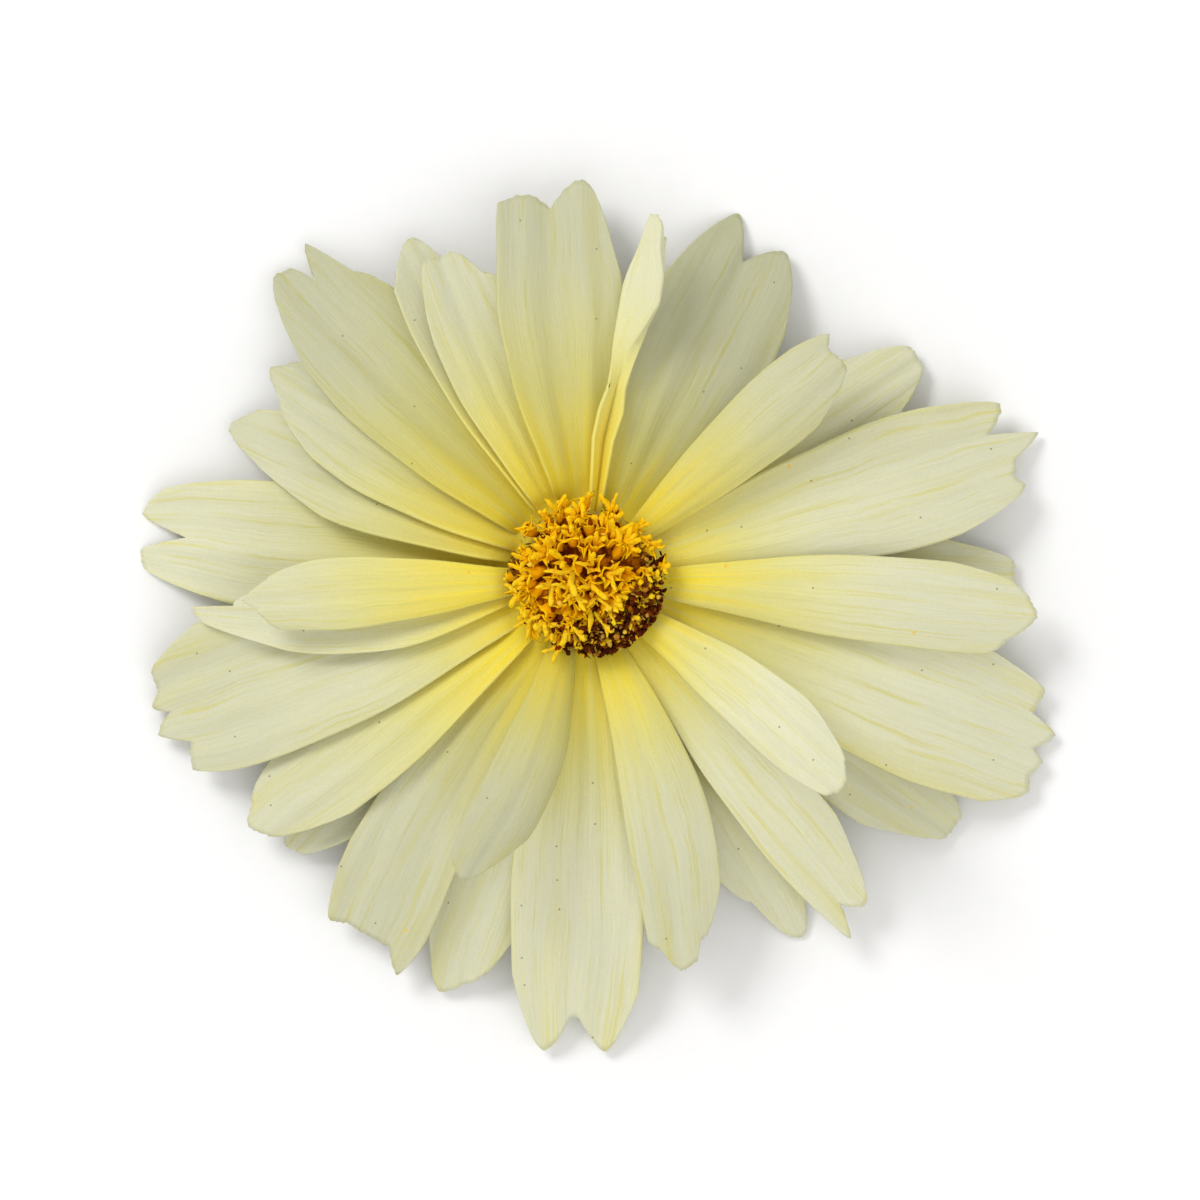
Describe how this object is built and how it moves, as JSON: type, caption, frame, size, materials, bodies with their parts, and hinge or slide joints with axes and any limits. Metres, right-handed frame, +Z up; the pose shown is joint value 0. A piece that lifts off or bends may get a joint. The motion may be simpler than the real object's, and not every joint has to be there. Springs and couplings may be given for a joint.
{
  "type": "coreopsis flower head",
  "caption": "Cream coreopsis flower head with toothed ray florets round a small orange-yellow disc, lying face up as picked.",
  "frame": {"origin": "on the table, under the middle of the head's outline seen from above", "axes": "+Z up out of the disc; +Y towards the top of the picture and +X to its right"},
  "size_m": [0.0604, 0.0575, 0.0134],
  "materials": {
    "ray_cream": "soft cream petal with fine lengthwise veins, yellow towards the disc",
    "disc_floret": "orange-yellow tubular florets with brown anthers",
    "inner_bract": "satin straw-green, thin and papery at the edge",
    "outer_bract": "satin leaf green",
    "stalk": "ribbed green stalk with a pale cut end"
  },
  "bodies": {
    "root": {"ray_florets": "ray_cream", "disc_florets": "disc_floret", "inner_bracts": "inner_bract", "outer_bracts": "outer_bract", "stem": "stalk"}
  },
  "joints": []
}
